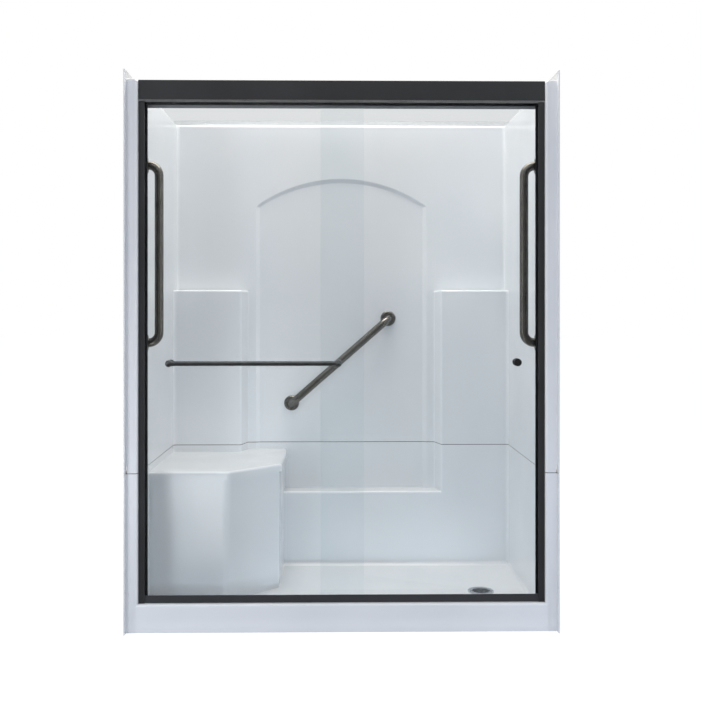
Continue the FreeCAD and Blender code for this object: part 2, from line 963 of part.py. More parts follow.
def jamb_screws():
    """Pan-head screws from the jambs through the moulding, both sides."""
    screws = []
    for seat in jamb_screw_seats():
        head = rod(seat - Vector(screw_head_height, 0, 0), seat, screw_head_radius)
        tip = seat + Vector(jamb_web + laminate + screw_bite, 0, 0)
        screw = fuse([head, rod(seat, tip, screw_radius)])
        screws += [screw, mirrored(screw)]
    return screws


def jamb_screw_holes():
    """Holes for those screws in the jambs and the moulding."""
    holes = []
    for seat in jamb_screw_seats():
        hole = rod(seat - Vector(1, 0, 0), seat + Vector(jamb_web + laminate + 1, 0, 0),
                   screw_radius + running_gap)
        holes += [hole, mirrored(hole)]
    return holes


def jamb_bumpers():
    """Rubber stops inside the jambs that both panes close against."""
    web = room_half - jamb_web
    face = pane_reach + touch_gap
    wide = (outer_pane_front - pane_gap, inner_pane_back + pane_gap)
    bumpers = []
    for z in bumper_heights:
        half = bumper_length / 2
        corners = [
            (face, wide[0], 2.0),
            (web, wide[0], 0),
            (web, wide[1], 0),
            (face, wide[1], 2.0),
        ]
        bumper = plan(corners, z - half, z + half)
        bumpers += [bumper, mirrored(bumper)]
    return bumpers


def track_ends():
    """Front and back of the sill track, which fits inside the jambs."""
    gap = jamb_wall + 1
    return jamb_front + gap, jamb_back - gap


def bottom_track():
    """Sill channel with a tall front wall and a low back wall."""
    front, back = track_ends()
    low = sill_height
    base = low + track_base
    wall = track_wall
    reach = room_half - jamb_web - touch_gap
    corners = [
        (front, low, 0),
        (front, low + track_front_height, 1.0),
        (front + wall, low + track_front_height, 0),
        (front + wall, base, 0),
        (back - wall, base, 0),
        (back - wall, low + track_rear_height, 0),
        (back, low + track_rear_height, 0),
        (back, low, 0),
    ]
    return cut(profile(corners, -reach, reach), guide_screw_holes())


def bottom_guide():
    """Moulded guide on the sill track that keeps both panes in line."""
    front, back = track_ends()
    base = sill_height + track_base
    top = base + guide_height
    half = guide_width / 2
    block = box((-half, half), (front + track_wall + touch_gap, back - track_wall - touch_gap), (base, top))
    slots = []
    for start in (outer_pane_front, inner_pane_back - glass_thickness):
        lane = (start - guide_slack, start + glass_thickness + guide_slack)
        slots.append(box((-far, far), lane, (pane_bottom - 2, top + 1)))
    heads = []
    for spot in guide_screw_spots():
        seat = Vector(spot.x, spot.y, base + guide_height / 2)
        heads.append(rod(seat, seat + Vector(0, 0, guide_height), screw_head_radius + touch_gap))
    return cut(block, slots + guide_screw_holes() + heads)


def guide_screw_spots():
    """Centres of the guide's two screws, in its middle fin."""
    return [Vector(x, frame_middle, 0) for x in (-guide_width / 4, guide_width / 4)]


def guide_screw_holes():
    """Holes for those screws in the guide, the track and the top of the sill."""
    foot = sill_height - laminate - 1
    seat = sill_height + track_base + guide_height / 2
    return [
        rod(Vector(p.x, p.y, foot), Vector(p.x, p.y, seat), screw_radius + running_gap)
        for p in guide_screw_spots()
    ]


def guide_screws():
    """Screws that hold the guide and the track down on the sill."""
    head_seat = sill_height + track_base + guide_height / 2
    tip_height = sill_height - laminate - screw_bite
    screws = []
    for spot in guide_screw_spots():
        seat = Vector(spot.x, spot.y, head_seat)
        head = rod(seat, seat + Vector(0, 0, screw_head_height), screw_head_radius)
        screws.append(fuse([head, rod(Vector(spot.x, spot.y, tip_height), seat, screw_radius)]))
    return screws


# Doors. way is 1 for a piece that points to the back of the enclosure and -1 for the front.
def pane(left, front, holes):
    """Sheet of toughened glass with ground corners and drilled holes."""
    right = left + pane_width
    corners = [
        (left, pane_bottom, pane_corner_radius),
        (right, pane_bottom, pane_corner_radius),
        (right, pane_top, pane_corner_radius),
        (left, pane_top, pane_corner_radius),
    ]
    wire = outline(corners, lambda u, v: Vector(u, front, v))
    sheet = Part.Face(wire).extrude(Vector(0, glass_thickness, 0))
    tools = [rod(Vector(x, front - 1, z), Vector(x, front + glass_thickness + 1, z), glass_hole_radius)
             for x, z in holes]
    return cut(sheet, tools)


def axle_xs(left):
    """The two wheel centres along a pane's top edge."""
    return [left + axle_inset, left + pane_width - axle_inset]


def along(way, distance):
    """Vector of a given length towards the back or the front."""
    return Vector(0, way * distance, 0)


def pane_face(way):
    """Depth of the pane face that looks towards its own rail."""
    return outer_pane_front if way < 0 else inner_pane_back


def wheel_back(way):
    """Depth of the wheel's side that looks towards the pane."""
    return pane_face(way) + way * (pane_gap + sleeve_flange)


def roller_axles(left, way):
    """Shoulder bolts: a head, a journal for the wheel, a collar and a stud through the glass."""
    axles = []
    journal = wheel_width + 2 * touch_gap
    for x in axle_xs(left):
        collar = Vector(x, pane_face(way) + way * sleeve_flange, axle_height)
        journal_start = Vector(x, wheel_back(way) - way * touch_gap, axle_height)
        head_start = journal_start + along(way, journal)
        stud_end = collar - along(way, glass_thickness + 2 * sleeve_flange + roller_nut_height)
        axles.append(fuse([
            rod(collar, journal_start, 2 * axle_radius),
            rod(journal_start, head_start, axle_radius),
            rod(head_start, head_start + along(way, axle_head_height), 1.5 * axle_radius),
            rod(collar, stud_end, stud_radius),
        ]))
    return axles


def sleeve(centre, way):
    """Flanged plastic sleeve that keeps metal off the edge of a glass hole."""
    flange = sleeve_flange
    outer = glass_hole_radius - touch_gap
    bore = stud_radius + running_gap
    wide = glass_hole_radius + sleeve_flange_width
    section = [
        (-flange, bore, 0),
        (-flange, wide, 0),
        (0, wide, 0),
        (0, outer, 0),
        (glass_thickness, outer, 0),
        (glass_thickness, wide, 0),
        (glass_thickness + flange, wide, 0),
        (glass_thickness + flange, bore, 0),
    ]
    return turned(section, centre, Vector(0, -way, 0))


def roller_sleeves(left, way):
    """Sleeves for both wheel bolts of a pane."""
    return [sleeve(Vector(x, pane_face(way), axle_height), way) for x in axle_xs(left)]


def roller_nuts(left, way):
    """Nuts on the far side of the glass."""
    nuts = []
    seat = pane_face(way) - way * (glass_thickness + sleeve_flange)
    for x in axle_xs(left):
        start = Vector(x, seat, axle_height)
        bore = rod(start + along(way, 1), start - along(way, far), stud_radius + running_gap)
        nuts.append(hexagon(start, Vector(0, -way, 0), roller_nut_flats, roller_nut_height).cut(bore))
    return nuts


def wheel(x, way):
    """Nylon wheel with a crowned rim, dished sides and lightening holes."""
    start = Vector(x, wheel_back(way), axle_height)
    rim = wheel_radius
    hub = wheel_bore + 2 * wheel_dish
    inner_rim = rim - 2 * wheel_dish
    half_section = [
        (wheel_crown, wheel_bore, 0),
        (0, wheel_bore + wheel_crown, 0),
        (0, hub - wheel_dish / 2, 0),
        (wheel_dish, hub, 0),
        (wheel_dish, inner_rim, 0),
        (0, inner_rim + wheel_dish / 2, 0),
        (0, rim - wheel_crown, 0),
        (wheel_width * 0.3, rim, 0),
    ]
    other_half = [(wheel_width - place, radius, bend) for place, radius, bend in reversed(half_section)]
    section = half_section + other_half
    body = turned(section, start, Vector(0, way, 0))
    ring = (wheel_bore + rim) / 2
    holes = []
    for step in range(5):
        angle = math.radians(72 * step)
        foot = start + Vector(ring * math.cos(angle), -way, ring * math.sin(angle))
        holes.append(rod(foot, foot + along(way, wheel_width + 2), wheel_hole_radius))
    return cut(body, holes)


def towel_post_spots():
    """Post centres on the outside of the outer pane."""
    jamb_edge = -room_half + jamb_width
    middle = (jamb_edge + outer_pane_left + pane_width) / 2
    half = towel_post_spacing / 2
    return [Vector(middle + way * half, outer_pane_front, handle_height) for way in (-1, 1)]


def towel_posts():
    """Turned posts with round heads that hold the towel bar."""
    posts = []
    base = handle_washer_thickness
    head = towel_post_radius
    reach = towel_bar_standoff
    neck = head * 0.62
    section = [
        (base, 0, 0),
        (base, head, 0),
        (base + towel_post_foot, head, towel_post_round),
        (base + 2 * towel_post_foot, neck, towel_post_round),
        (reach - head, neck, towel_post_round),
        (reach - head * 0.6, head, towel_post_round),
        (reach + head * 0.6, head, 2 * towel_post_round),
        (reach + head, 0, 0),
    ]
    for spot, side in zip(towel_post_spots(), (1, -1)):
        post = turned(section, spot, Vector(0, -1, 0))
        centre = spot - along(1, reach)
        bar_bore = rod(centre, centre + Vector(side * far, 0, 0), towel_bar_radius + running_gap)
        stud_bore = rod(spot, spot - along(1, reach / 2), stud_radius + running_gap)
        posts.append(cut(post, [bar_bore, stud_bore]))
    return posts


def towel_bar():
    """Round tube between the posts."""
    left, right = [spot - along(1, towel_bar_standoff) for spot in towel_post_spots()]
    tube = rod(left, right, towel_bar_radius)
    return tube.cut(rod(left, right, towel_bar_radius - towel_bar_wall))


def handle_washer(spot, way):
    """Clear washer between metal and glass, with its collar in the hole."""
    section = [
        (0, stud_radius + running_gap, 0),
        (0, glass_hole_radius - touch_gap, 0),
        (glass_thickness / 2 - running_gap, glass_hole_radius - touch_gap, 0),
        (glass_thickness / 2 - running_gap, stud_radius + running_gap, 0),
    ]
    collar = turned(section, spot, Vector(0, -way, 0))
    ring = rod(spot, spot + along(way, handle_washer_thickness), towel_post_radius)
    bore = rod(spot - along(way, 1), spot + along(way, far), stud_radius + running_gap)
    return fuse([collar, ring.cut(bore)])


def washers_for(spots):
    """Washers on both faces of a pane, at each point on its front face."""
    back = along(1, glass_thickness)
    return [w for spot in spots for w in (handle_washer(spot, -1), handle_washer(spot + back, 1))]


def cap_bolt(seat, way, radius, length):
    """Low round cap with a stud, seated on a washer. The stud points against way."""
    section = [
        (0, 0, 0),
        (0, radius, 0),
        (handle_cap_thickness, radius, handle_cap_thickness * 0.6),
        (handle_cap_thickness, 0, 0),
    ]
    cap = turned(section, seat, Vector(0, way, 0))
    return fuse([cap, rod(seat, seat - along(way, length), stud_radius)])


def towel_bolts():
    """Cap bolts from the wet side of the outer pane into the posts."""
    step = glass_thickness + handle_washer_thickness
    length = step + towel_bar_standoff / 3
    return [cap_bolt(spot + along(1, step), 1, towel_post_radius, length) for spot in towel_post_spots()]


def knob_spot():
    """Point on the front face of the inner pane, on the knob's axis."""
    return Vector(pane_reach - knob_inset, inner_pane_back - glass_thickness, handle_height)


def pull_knob():
    """Turned knob on the wet side of the inner pane."""
    base = glass_thickness + handle_washer_thickness
    section = [
        (base, 0, 0),
        (base, knob_radius * 0.75, 0),
        (base + knob_foot, knob_radius * 0.75, knob_round / 4),
        (base + knob_length * 0.45, knob_radius * 0.6, knob_round),
        (base + knob_length * 0.65, knob_radius, knob_round * 0.75),
        (base + knob_length, knob_radius, knob_round),
        (base + knob_length, 0, 0),
    ]
    knob = turned(section, knob_spot(), Vector(0, 1, 0))
    bore = rod(knob_spot(), knob_spot() + along(1, base + knob_length / 2), stud_radius + running_gap)
    return knob.cut(bore)


def pull_knob_cap():
    """Low cap on the dry side of the inner pane, thin enough to pass behind the outer pane."""
    seat = knob_spot() - along(1, handle_washer_thickness)
    length = glass_thickness + 2 * handle_washer_thickness + knob_length / 3
    return cap_bolt(seat, -1, knob_radius, length)


def build():
    """Every node's solids by name."""
    inside = air(0)
    behind = air(laminate)
    bars = bar_places()
    bar_holes = []
    for length, placement in bars.values():
        bar_holes += placed(bar_screw_holes(length), placement)
    jamb_holes = jamb_screw_holes()
    holes = flange_holes() + seam_bolt_holes() + jamb_holes + bar_holes + guide_screw_holes()
    right_board = side_board()
    right_jamb = jamb(jamb_holes)
    towel_holes = [(spot.x, spot.z) for spot in towel_post_spots()]
    outer_axles = [(x, axle_height) for x in axle_xs(outer_pane_left)]
    inner_axles = [(x, axle_height) for x in axle_xs(inner_pane_left)]
    inner_front = inner_pane_back - glass_thickness
    nodes = {
        "lower_section": [lower_section(inside, behind, holes)],
        "upper_section": [upper_section(inside, behind, holes)],
        "seam_gasket": [seam_gasket(air(seam_recess), seam_bolt_holes())],
        "seam_bolts": seam_bolts(),
        "seam_nuts": seam_nuts(),
        "floor_stringers": floor_stringers(behind),
        "seat_stiffener": [seat_stiffener()],
        "left_backing_board": [cut(mirrored(right_board), bar_holes)],
        "right_backing_board": [cut(right_board, bar_holes)],
        "back_backing_board": [cut(back_board(), bar_holes)],
        "drain_body": [drain_body()],
        "drain_gasket": [drain_gasket()],
        "drain_washer": [drain_washer()],
        "drain_locknut": [drain_locknut()],
        "drain_strainer": [drain_strainer()],
        "strainer_screws": strainer_screws(),
        "header_rail": [header_rail()],
        "bottom_track": [bottom_track()],
        "left_jamb": [mirrored(right_jamb)],
        "right_jamb": [right_jamb],
        "jamb_screws": jamb_screws(),
        "jamb_bumpers": jamb_bumpers(),
        "bottom_guide": [bottom_guide()],
        "bottom_guide_screws": guide_screws(),
        "outer_glass": [pane(outer_pane_left, outer_pane_front, outer_axles + towel_holes)],
        "outer_roller_axles": roller_axles(outer_pane_left, -1),
        "outer_roller_sleeves": roller_sleeves(outer_pane_left, -1),
        "outer_roller_nuts": roller_nuts(outer_pane_left, -1),
        "towel_bar": [towel_bar()],
        "towel_bar_posts": towel_posts(),
        "towel_bar_washers": washers_for(towel_post_spots()),
        "towel_bar_bolts": towel_bolts(),
        "inner_glass": [pane(inner_pane_left, inner_front, inner_axles + [(knob_spot().x, handle_height)])],
        "inner_roller_axles": roller_axles(inner_pane_left, 1),
        "inner_roller_sleeves": roller_sleeves(inner_pane_left, 1),
        "inner_roller_nuts": roller_nuts(inner_pane_left, 1),
        "pull_knob": [pull_knob()],
        "pull_knob_cap": [pull_knob_cap()],
        "pull_knob_washers": washers_for([knob_spot()]),
    }
    for door, left, way in (("outer", outer_pane_left, -1), ("inner", inner_pane_left, 1)):
        for side, x in zip(("left", "right"), axle_xs(left)):
            nodes[f"{door}_{side}_wheel"] = [wheel(x, way)]
    for side, (length, placement) in bars.items():
        nodes[f"{side}_grab_bar"] = placed([bar_tube(length)], placement)
        nodes[f"{side}_grab_bar_plates"] = placed(bar_plates(length), placement)
        nodes[f"{side}_grab_bar_covers"] = placed(bar_covers(length), placement)
        nodes[f"{side}_grab_bar_screws"] = placed(bar_screws(length), placement)
    return nodes


def export(nodes):
    """One STEP file per node, with the origin at the middle of the footprint on the subfloor."""
    os.makedirs("parts", exist_ok=True)
    for name, shapes in nodes.items():
        solids = [solid for shape in shapes for solid in shape.Solids]
        group = Part.makeCompound(solids) if len(solids) > 1 else solids[0].copy()
        group.translate(Vector(0, -mid_depth, 0))
        group.exportStep(os.path.join("parts", name + ".step"))


export(build())
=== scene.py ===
"""Looks of the alcove shower enclosure: white moulded walls, charcoal door frame, clear bypass doors."""
import json
import math

import bpy
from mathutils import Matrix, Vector

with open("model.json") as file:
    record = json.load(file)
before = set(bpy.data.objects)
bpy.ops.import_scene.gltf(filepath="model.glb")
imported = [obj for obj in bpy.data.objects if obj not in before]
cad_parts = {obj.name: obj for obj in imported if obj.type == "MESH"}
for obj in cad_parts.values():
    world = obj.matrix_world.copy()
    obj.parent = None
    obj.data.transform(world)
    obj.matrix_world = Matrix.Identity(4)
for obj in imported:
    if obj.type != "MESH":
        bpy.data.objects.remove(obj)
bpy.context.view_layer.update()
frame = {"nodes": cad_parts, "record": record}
nodes = frame["nodes"]

WHITE = (1, 1, 1, 1)


# Small helpers for colours and shader nodes
def linear(code):
    """Linear colour of an sRGB hex value."""
    parts = [int(code[i:i + 2], 16) / 255 for i in (1, 3, 5)]
    return [p / 12.92 if p <= 0.04045 else ((p + 0.055) / 1.055) ** 2.4 for p in parts] + [1.0]


def per_mm(size):
    """Texture scale that gives features of this size in millimetres."""
    return 1000 / size


def add(tree, kind, settings=None, **sockets):
    """Adds a shader node. Settings are its properties, and sockets are values or links of its inputs."""
    node = tree.nodes.new(kind)
    for name, value in (settings or {}).items():
        setattr(node, name, value)
    for name, value in sockets.items():
        key = int(name[1:]) if name[0] == "_" else name.replace("_", " ")
        if isinstance(value, bpy.types.NodeSocket):
            tree.links.new(value, node.inputs[key])
        else:
            node.inputs[key].default_value = value
    return node


def blank(name):
    """New material with its node tree, output and object coordinates."""
    material = bpy.data.materials.new(name)
    material.use_nodes = True
    tree = material.node_tree
    tree.nodes.clear()
    output = tree.nodes.new("ShaderNodeOutputMaterial")
    place = add(tree, "ShaderNodeTexCoord").outputs["Object"]
    return material, tree, output, place


def blend_colours(tree, factor, low, high):
    """Colour that goes from low to high with a factor."""
    mix = add(tree, "ShaderNodeMix", {"data_type": "RGBA"}, Factor=factor)
    mix.inputs[6].default_value = linear(low)
    mix.inputs[7].default_value = linear(high)
    return mix.outputs[2]


def spread(tree, value, low, high, start=0.3, end=0.7):
    """Number that goes from low to high while a texture goes from start to end."""
    node = add(
        tree, "ShaderNodeMapRange", None,
        Value=value, From_Min=start, From_Max=end, To_Min=low, To_Max=high,
    )
    return node.outputs["Result"]


def surface(tree, output, **sockets):
    """Principled surface wired to the output."""
    shader = add(tree, "ShaderNodeBsdfPrincipled", None, **sockets)
    tree.links.new(shader.outputs["BSDF"], output.inputs["Surface"])


# Materials
STRAINER_MIDDLE = (0.543, -0.051, 0.04)
STRAINER_HOLES_END = 0.028
STRAINER_RIM_START = 0.038


def moulded_gelcoat():
    """White gelcoat off a polished mould: glossy, faintly wavy, very slightly cool."""
    material, tree, output, place = blank("gelcoat_moulded_white")
    cloud = add(tree, "ShaderNodeTexNoise", None, Vector=place, Scale=per_mm(420), Detail=2.0)
    peel = add(tree, "ShaderNodeTexNoise", None, Vector=place, Scale=per_mm(16), Detail=1.0)
    haze = add(tree, "ShaderNodeTexNoise", None, Vector=place, Scale=per_mm(130), Detail=3.0)
    bump = add(tree, "ShaderNodeBump", None, Height=peel.outputs["Fac"], Strength=0.1, Distance=0.0002)
    surface(
        tree, output,
        Base_Color=blend_colours(tree, spread(tree, cloud.outputs["Fac"], 0, 1), "#e2e5e9", "#e8eaed"),
        Roughness=spread(tree, haze.outputs["Fac"], 0.1, 0.18),
        Normal=bump.outputs["Normal"],
        IOR=1.5,
    )
    return material


def flange_painted_shade():
    """Flange above the walls: the same gelcoat painted greyer, as painted shade, and dull without gloss."""
    material, tree, output, place = blank("gelcoat_flange_painted_shade")
    flange_texture = add(tree, "ShaderNodeTexNoise", None, Vector=place, Scale=per_mm(12), Detail=4.0)
    bump = add(tree, "ShaderNodeBump", None, Height=flange_texture.outputs["Fac"], Strength=0.3, Distance=0.0003)
    surface(
        tree, output,
        Base_Color=blend_colours(tree, spread(tree, flange_texture.outputs["Fac"], 0, 1), "#c3c5c8", "#cdcfd1"),
        Roughness=spread(tree, flange_texture.outputs["Fac"], 0.5, 0.65),
        Normal=bump.outputs["Normal"],
        IOR=1.5,
    )
    return material


def strainer_with_painted_hole_shade():
    """Stainless strainer: bright at its rim, and painted darker in the middle, where fine holes lie between
    the drilled rings, as painted shade for the dark drain seen through them.
    """
    material, tree, output, place = blank("steel_stainless_painted_hole_shade")
    middle = add(tree, "ShaderNodeVectorMath", {"operation": "DISTANCE"}, _0=place, _1=STRAINER_MIDDLE)
    # Painted shade: the middle of the strainer goes dark, as the drain below would look through its holes.
    rim = spread(tree, middle.outputs["Value"], 0, 1, STRAINER_HOLES_END, STRAINER_RIM_START)
    brush = add(tree, "ShaderNodeTexNoise", None, Vector=place, Scale=per_mm(4), Detail=3.0)
    surface(
        tree, output,
        Base_Color=blend_colours(tree, rim, "#4b4d50", "#b9babc"),
        Roughness=spread(tree, brush.outputs["Fac"], 0.2, 0.32),
        Metallic=1.0,
    )
    return material


def sprayed_fibreglass():
    """Back of the laminate: chopped strands in resin, matt, creamy and uneven."""
    material, tree, output, place = blank("fibreglass_sprayed_back")
    strands = None
    for turn in ((0, 0.5, -0.5), (0, 2.2, 0.6), (0, 1.3, -0.2)):
        turned = add(tree, "ShaderNodeMapping", None, Vector=place, Rotation=turn)
        lay = add(tree, "ShaderNodeMapping", None, Vector=turned.outputs["Vector"],
                  Scale=(per_mm(60), per_mm(5), per_mm(5)))
        noise = add(tree, "ShaderNodeTexNoise", None, Vector=lay.outputs["Vector"], Scale=1.0, Detail=3.0)
        if strands is None:
            strands = noise.outputs["Fac"]
        else:
            pick = add(tree, "ShaderNodeMath", {"operation": "MAXIMUM"},
                       _0=strands, _1=noise.outputs["Fac"])
            strands = pick.outputs[0]
    bump = add(tree, "ShaderNodeBump", None, Height=strands, Strength=0.8, Distance=0.0012)
    surface(
        tree, output,
        Base_Color=blend_colours(tree, spread(tree, strands, 0, 1, 0.45, 0.75), "#b9b39f", "#ddd7c5"),
        Roughness=spread(tree, strands, 0.72, 0.5, 0.45, 0.75),
        Normal=bump.outputs["Normal"],
        IOR=1.52,
    )
    return material


def coated_aluminium(name, low, high, rough):
    """Coated extrusion: satin, with a fine grit that is drawn coarser than real so that it shows."""
    material, tree, output, place = blank(name)
    grit = add(tree, "ShaderNodeTexNoise", None, Vector=place, Scale=per_mm(1.6), Detail=2.0)
    cloud = add(tree, "ShaderNodeTexNoise", None, Vector=place, Scale=per_mm(180), Detail=3.0)
    bump = add(tree, "ShaderNodeBump", None, Height=grit.outputs["Fac"], Strength=0.35, Distance=0.0002)
    surface(
        tree, output,
        Base_Color=blend_colours(tree, spread(tree, cloud.outputs["Fac"], 0, 1), low, high),
        Roughness=spread(tree, grit.outputs["Fac"], rough - 0.06, rough + 0.06),
        Normal=bump.outputs["Normal"],
        Metallic=0.0,
        IOR=1.5,
    )
    return material


def brushed_metal(name, low, high, rough, turn):
    """Brushed and toned metal: fine lines that stretch its highlights. turn lays them along the piece."""
    material, tree, output, place = blank(name)
    lay = add(tree, "ShaderNodeMapping", None, Vector=place, Rotation=turn)
    lines = add(tree, "ShaderNodeMapping", None, Vector=lay.outputs["Vector"],
                Scale=(per_mm(90), per_mm(1.2), per_mm(1.2)))
    brush = add(tree, "ShaderNodeTexNoise", None, Vector=lines.outputs["Vector"], Scale=1.0, Detail=4.0)
    cloud = add(tree, "ShaderNodeTexNoise", None, Vector=place, Scale=per_mm(70), Detail=2.0)
    bump = add(tree, "ShaderNodeBump", None, Height=brush.outputs["Fac"], Strength=0.15, Distance=0.0002)
    surface(
        tree, output,
        Base_Color=blend_colours(tree, spread(tree, cloud.outputs["Fac"], 0, 1), low, high),
        Roughness=spread(tree, brush.outputs["Fac"], rough - 0.08, rough + 0.08),
        Normal=bump.outputs["Normal"],
        Metallic=1.0,
    )
    return material


def moulded_plastic(name, low, high, rough, grain):
    """Moulded plastic or rubber with a fine grain of a given size in millimetres."""
    material, tree, output, place = blank(name)
    noise = add(tree, "ShaderNodeTexNoise", None, Vector=place, Scale=per_mm(grain), Detail=3.0)
    bump = add(tree, "ShaderNodeBump", None, Height=noise.outputs["Fac"], Strength=0.3, Distance=0.0002)
    surface(
        tree, output,
        Base_Color=blend_colours(tree, spread(tree, noise.outputs["Fac"], 0, 1), low, high),
        Roughness=spread(tree, noise.outputs["Fac"], rough - 0.07, rough + 0.07),
        Normal=bump.outputs["Normal"],
        IOR=1.48,
    )
    return material


def plywood(name, turn):
    """Unsanded softwood plywood: long pale and brown grain, fine pores. turn lays it along the piece."""
    material, tree, output, place = blank(name)
    along = add(tree, "ShaderNodeMapping", None, Vector=place, Rotation=turn).outputs["Vector"]
    lay = add(tree, "ShaderNodeMapping", None, Vector=along, Scale=(per_mm(260), per_mm(9), per_mm(9)))
    grain = add(tree, "ShaderNodeTexNoise", None, Vector=lay.outputs["Vector"],
                Scale=1.0, Detail=6.0, Distortion=0.6)
    pores = add(tree, "ShaderNodeMapping", None, Vector=along, Scale=(per_mm(30), per_mm(1.5), per_mm(1.5)))
    fine = add(tree, "ShaderNodeTexNoise", None, Vector=pores.outputs["Vector"], Scale=1.0, Detail=2.0)
    both = add(tree, "ShaderNodeMath", {"operation": "MULTIPLY_ADD"}, _0=fine.outputs["Fac"], _1=0.35,
               _2=grain.outputs["Fac"])
    pale = spread(tree, both.outputs[0], 0, 1, 0.5, 0.85)
    bump = add(tree, "ShaderNodeBump", None, Height=both.outputs[0], Strength=0.5, Distance=0.0006)
    surface(
        tree, output,
        Base_Color=blend_colours(tree, pale, "#a5804f", "#d6b98b"),
        Roughness=spread(tree, both.outputs[0], 0.78, 0.6, 0.5, 0.85),
        Normal=bump.outputs["Normal"],
        IOR=1.5,
    )
    return material


def toughened_glass():
    """Clear float glass, toughened: a pale grey-green body colour, and lamps shine through it."""
    material, tree, output, place = blank("glass_toughened_clear")
    film = add(tree, "ShaderNodeTexNoise", None, Vector=place, Scale=per_mm(200), Detail=3.0)
    shader = add(
        tree, "ShaderNodeBsdfPrincipled", None,
        Base_Color=blend_colours(tree, spread(tree, film.outputs["Fac"], 0, 1), "#fafdfe", "#fcfeff"),
        Roughness=0.0,
        IOR=1.42,
        Transmission_Weight=1.0,
    )
    clear = add(tree, "ShaderNodeBsdfTransparent", None, Color=linear("#f3f6f6"))
    path = add(tree, "ShaderNodeLightPath")
    mix = add(tree, "ShaderNodeMixShader", None, Fac=path.outputs["Is Shadow Ray"])
    tree.links.new(shader.outputs["BSDF"], mix.inputs[1])
    tree.links.new(clear.outputs["BSDF"], mix.inputs[2])
    tree.links.new(mix.outputs["Shader"], output.inputs["Surface"])
    return material


def clear_vinyl():
    """Soft clear vinyl: cloudy, half see-through."""
    material, tree, output, place = blank("vinyl_clear")
    cloud = add(tree, "ShaderNodeTexNoise", None, Vector=place, Scale=per_mm(6), Detail=2.0)
    surface(
        tree, output,
        Base_Color=blend_colours(tree, spread(tree, cloud.outputs["Fac"], 0, 1), "#d5dcdc", "#e6ebeb"),
        Roughness=spread(tree, cloud.outputs["Fac"], 0.3, 0.45),
        IOR=1.53,
        Transmission_Weight=0.6,
    )
    return material


gelcoat = moulded_gelcoat()
# Painted shade: the flange above the walls gets a greyer gelcoat so it looks less lit than it is.
flange_shade_gelcoat = flange_painted_shade()
fibreglass = sprayed_fibreglass()
frame_coat = coated_aluminium("aluminium_powder_coated_charcoal", "#262729", "#2d2e30", 0.36)
# The bottom track gets a lighter copy of the frame's charcoal coat.
track_coat = coated_aluminium("aluminium_powder_coated_charcoal_lighter", "#303134", "#38393d", 0.4)
# Painted light: the header's lip is painted light grey so it looks lit.
lip_light_coat = coated_aluminium("aluminium_lip_painted_light", "#8c8d90", "#98999c", 0.45)
# Painted shade: the inside of the header channel is painted near black, where shade falls.
channel_shade_coat = coated_aluminium("aluminium_channel_painted_shade", "#0b0b0c", "#101011", 0.5)
knob_coat = coated_aluminium("aluminium_powder_coated_black", "#0e0e0f", "#141415", 0.3)
upright = (0, math.pi / 2, 0)
slanted = (0, math.radians(41.2), 0)
side_bar_steel = brushed_metal("steel_brushed_dark_nickel_upright", "#625f5b", "#6e6b67", 0.24, upright)
back_bar_steel = brushed_metal("steel_brushed_dark_nickel_slanted", "#6a6864", "#777571", 0.24, slanted)
towel_metal = brushed_metal("aluminium_brushed_dark_nickel", "#55585a", "#626566", 0.26, (0, 0, 0))
# Painted highlight: the header's lower front bevel is painted light grey where it would mirror the pale
# floor.
bevel_highlight_metal = brushed_metal("aluminium_bevel_painted_highlight", "#a3a4a6", "#b2b3b5", 0.3, (0, 0, 0))
rim_steel = brushed_metal("steel_polished_stainless", "#d3d4d5", "#e0e1e1", 0.16, (0, 0, 0.5))
strainer_steel = strainer_with_painted_hole_shade()
zinc = brushed_metal("steel_zinc_plated", "#a8a8a4", "#c4c4be", 0.34, (0, 0, 0))
timber = plywood("plywood_raw_level", (0, 0, 0))
upright_timber = plywood("plywood_raw_upright", upright)
glass = toughened_glass()
vinyl = clear_vinyl()
black_plastic = moulded_plastic("abs_moulded_black", "#1b1b1c", "#262627", 0.45, 2.5)
rubber = moulded_plastic("rubber_moulded_black", "#161616", "#202020", 0.7, 1.5)
butyl = moulded_plastic("butyl_pressed_grey", "#1b1d20", "#26282b", 0.75, 4.0)
fibre = moulded_plastic("fibre_pressed_red", "#6e3a2c", "#85493a", 0.8, 1.2)
white_nylon = moulded_plastic("nylon_turned_white", "#d8d6cd", "#e6e4dc", 0.4, 3.0)

finishes = {
    "butyl_black": butyl,
    "zinc_fastener": zinc,
    "plywood": timber,
    "drain_plastic": black_plastic,
    "drain_rubber": rubber,
    "fibre": fibre,
    "drain_steel": strainer_steel,
    "charcoal_aluminium": frame_coat,
    "bumper_rubber": rubber,
    "guide_nylon": black_plastic,
    "wheel_nylon": white_nylon,
    "clear_vinyl": vinyl,
    "clear_glass": glass,
    "towel_bar_metal": towel_metal,
    "knob_metal": knob_coat,
    "grab_bar_metal": side_bar_steel,
}
slot_of = {part["node"]: part["material_slot"] for part in frame["record"]["subparts"]}
for name, piece in nodes.items():
    if slot_of[name] in finishes:
        piece.data.materials.clear()
        piece.data.materials.append(finishes[slot_of[name]])
for name in ("back_grab_bar", "back_grab_bar_covers", "back_grab_bar_plates"):
    nodes[name].data.materials[0] = back_bar_steel
for name in ("left_backing_board", "right_backing_board"):
    nodes[name].data.materials[0] = upright_timber
nodes["bottom_track"].data.materials[0] = track_coat


